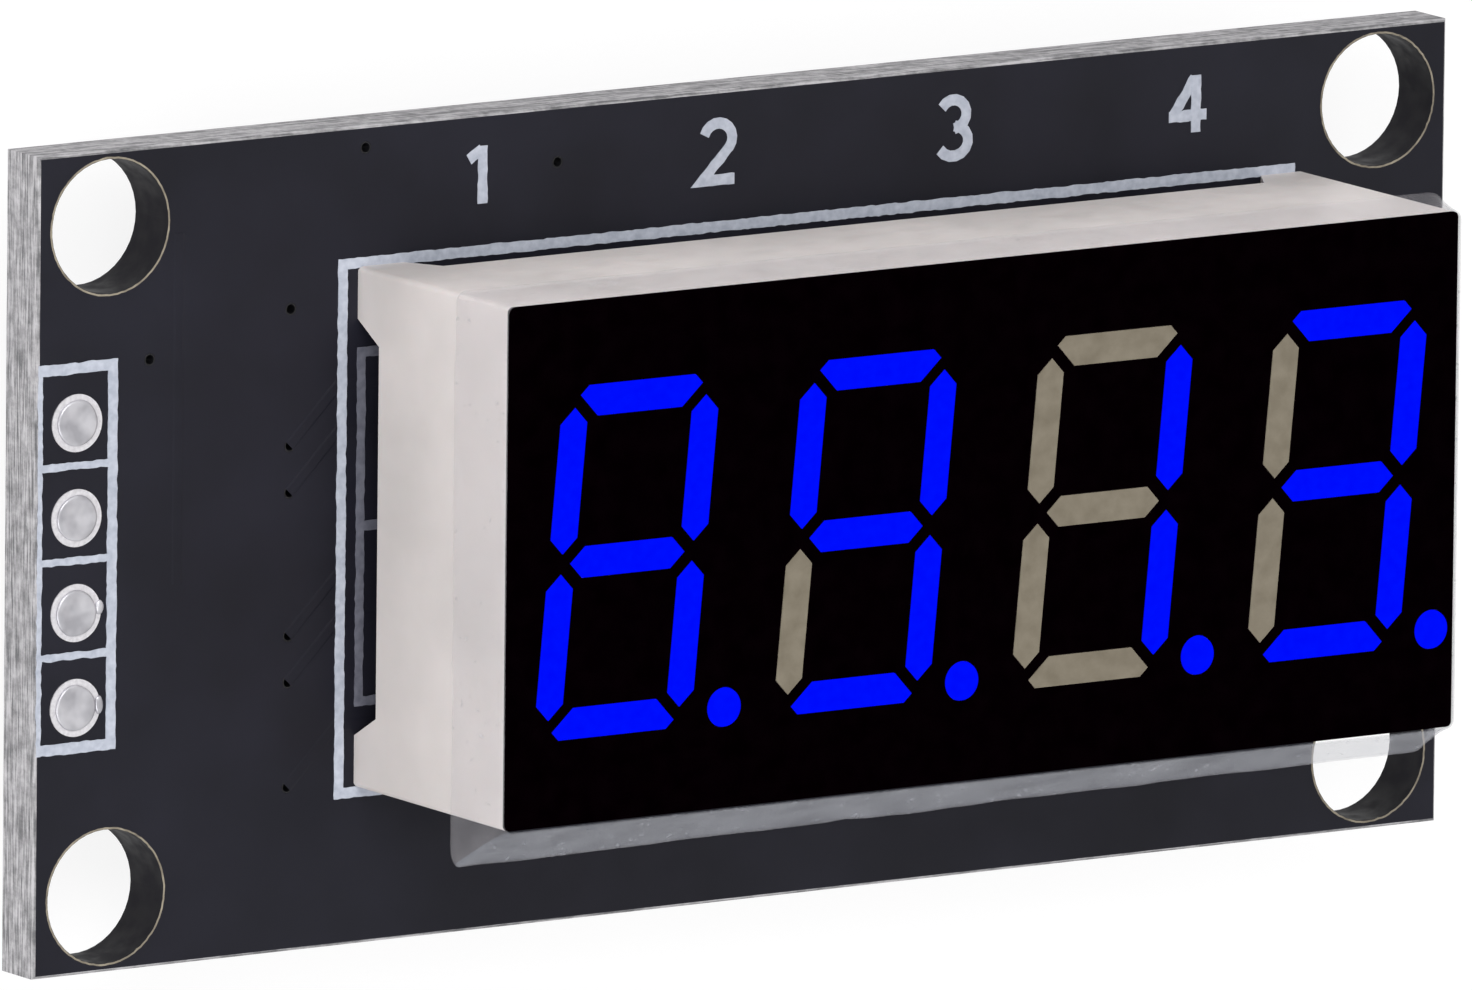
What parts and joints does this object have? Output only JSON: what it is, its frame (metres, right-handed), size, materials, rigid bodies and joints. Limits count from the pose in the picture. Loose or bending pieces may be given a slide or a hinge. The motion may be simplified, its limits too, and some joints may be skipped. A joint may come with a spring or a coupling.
{
  "type": "seven segment display module",
  "caption": "Seven-segment LED display on a slim black driver board with corner mounting holes and a header pad column at one end.",
  "frame": {"origin": "centre of the board's outline, on the plane touched by the driver chip's top and the trimmed display pins", "axes": "+X along the board from the header pads to the far end, as the digits are read; +Y towards the top of the digits; +Z out of the display's face"},
  "size_m": [0.0448, 0.022, 0.0115],
  "materials": {
    "segment_lit": "diffusing epoxy, lit blue",
    "segment_off": "milky diffusing epoxy, unlit",
    "solder_mask_board": "black solder mask over glass-fibre laminate",
    "tinned_copper": "tin-finished copper",
    "bare_copper": "copper",
    "solder": "solder, bright",
    "housing_plastic": "moulded, warm light grey",
    "face_ink": "black printed face",
    "carrier_laminate": "glass-fibre laminate",
    "led_die": "semiconductor die",
    "bond_wire": "gold wire",
    "potting_epoxy": "cast milky epoxy",
    "tinned_pin": "tinned steel pin",
    "chip_epoxy": "moulded black epoxy",
    "tinned_lead": "matt tinned lead",
    "resistor_body": "alumina with black glass coat",
    "plated_terminal": "plated end cap",
    "capacitor_ceramic": "fired tan ceramic",
    "bulk_ceramic": "fired brown ceramic",
    "clear_film": "clear protective film"
  },
  "bodies": {
    "root": {"back_potting": "potting_epoxy", "black_face": "face_ink", "bond_wires": "bond_wire", "bulk_capacitor": "bulk_ceramic", "bulk_capacitor_terminals": "plated_terminal", "capacitor_terminals": "plated_terminal", "circuit_board": "solder_mask_board", "digit_1_decimal_point": "segment_lit", "digit_1_segment_a": "segment_lit", "digit_1_segment_b": "segment_lit", "digit_1_segment_c": "segment_lit", "digit_1_segment_d": "segment_lit", "digit_1_segment_e": "segment_lit", "digit_1_segment_f": "segment_lit", "digit_1_segment_g": "segment_lit", "digit_2_decimal_point": "segment_lit", "digit_2_segment_a": "segment_lit", "digit_2_segment_b": "segment_lit", "digit_2_segment_c": "segment_lit", "digit_2_segment_d": "segment_lit", "digit_2_segment_e": "segment_off", "digit_2_segment_f": "segment_lit", "digit_2_segment_g": "segment_lit", "digit_3_decimal_point": "segment_lit", "digit_3_segment_a": "segment_off", "digit_3_segment_b": "segment_lit", "digit_3_segment_c": "segment_lit", "digit_3_segment_d": "segment_off", "digit_3_segment_e": "segment_off", "digit_3_segment_f": "segment_off", "digit_3_segment_g": "segment_off", "digit_4_decimal_point": "segment_lit", "digit_4_segment_a": "segment_lit", "digit_4_segment_b": "segment_lit", "digit_4_segment_c": "segment_lit", "digit_4_segment_d": "segment_lit", "digit_4_segment_e": "segment_off", "digit_4_segment_f": "segment_off", "digit_4_segment_g": "segment_lit", "display_housing": "housing_plastic", "display_pin_pads": "tinned_copper", "display_pin_solder": "solder", "display_pins_lower": "tinned_pin", "display_pins_upper": "tinned_pin", "driver_chip_body": "chip_epoxy", "driver_chip_leads": "tinned_lead", "driver_chip_pads": "tinned_copper", "driver_chip_solder": "solder", "header_pads": "tinned_copper", "header_solder": "solder", "led_carrier": "carrier_laminate", "led_dice": "led_die", "protective_film": "clear_film", "pull_up_resistors": "resistor_body", "resistor_terminals": "plated_terminal", "small_capacitors": "capacitor_ceramic", "small_part_pads": "tinned_copper", "small_part_solder": "solder", "via_barrels": "bare_copper"}
  },
  "joints": []
}
